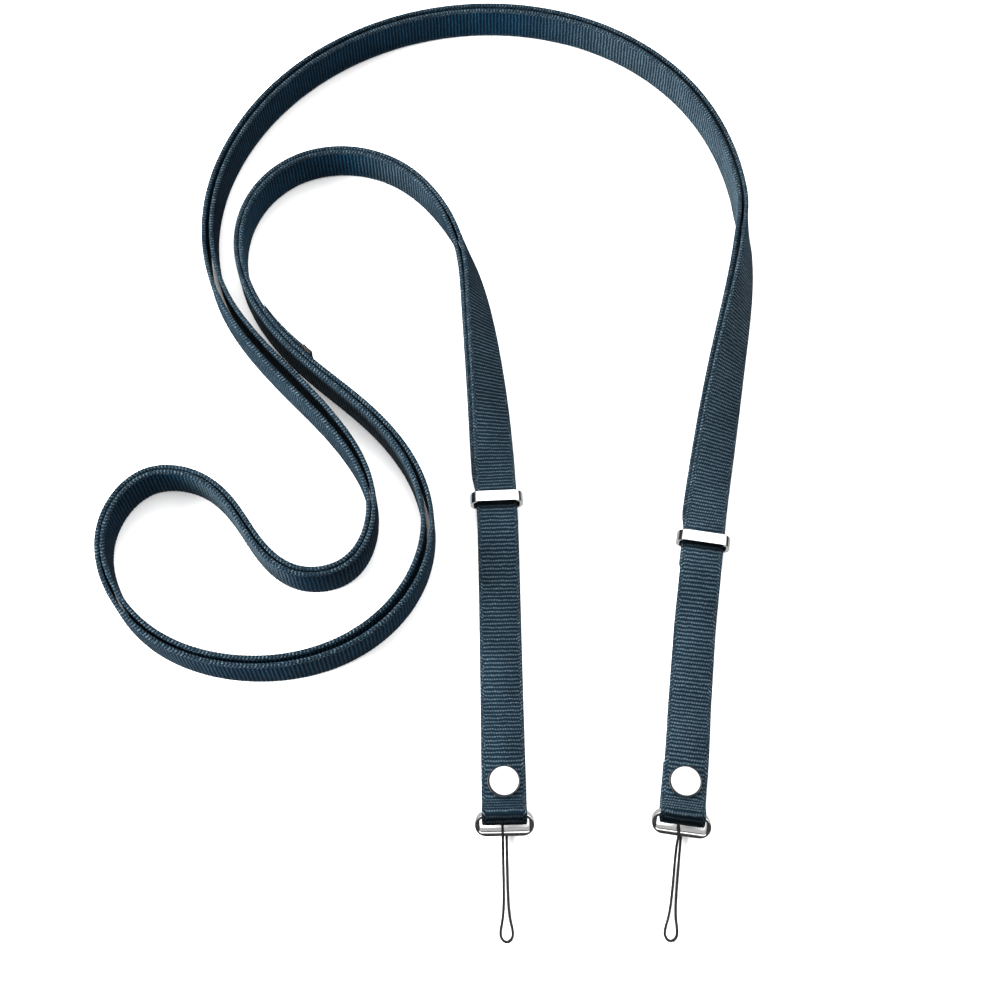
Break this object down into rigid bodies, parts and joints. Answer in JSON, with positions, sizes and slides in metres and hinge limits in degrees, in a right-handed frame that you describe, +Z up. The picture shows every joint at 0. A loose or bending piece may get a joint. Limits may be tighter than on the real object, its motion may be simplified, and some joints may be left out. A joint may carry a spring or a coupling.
{
  "type": "phone crossbody strap",
  "caption": "Long doubled grosgrain ribbon strap laid in loops, with metal sliders, snap-closed ring folds and thin cord tethers for a phone case.",
  "frame": {"origin": "on the table under the middle of the strap's box, tether cords not counted", "axes": "+Z up from the table; +Y from the two rings towards the top of the big loop; +X to the right as seen from above with the rings nearest"},
  "size_m": [0.2486, 0.3999, 0.0157],
  "materials": {
    "ribbon": "ribbed grosgrain ribbon, dark teal navy",
    "thread": "dark sewing thread",
    "nickel": "polished nickel plate",
    "cord": "thin black braided cord"
  },
  "bodies": {
    "root": {"ribbon_a": "ribbon", "ribbon_b": "ribbon", "seam_lap": "ribbon", "seam_tack": "thread", "ring_left": "nickel", "ring_right": "nickel", "slider_left": "nickel", "slider_right": "nickel", "snap_back_left": "nickel", "snap_back_right": "nickel", "snap_cap_left": "nickel", "snap_cap_right": "nickel", "tether_left": "cord", "tether_right": "cord"}
  },
  "joints": []
}
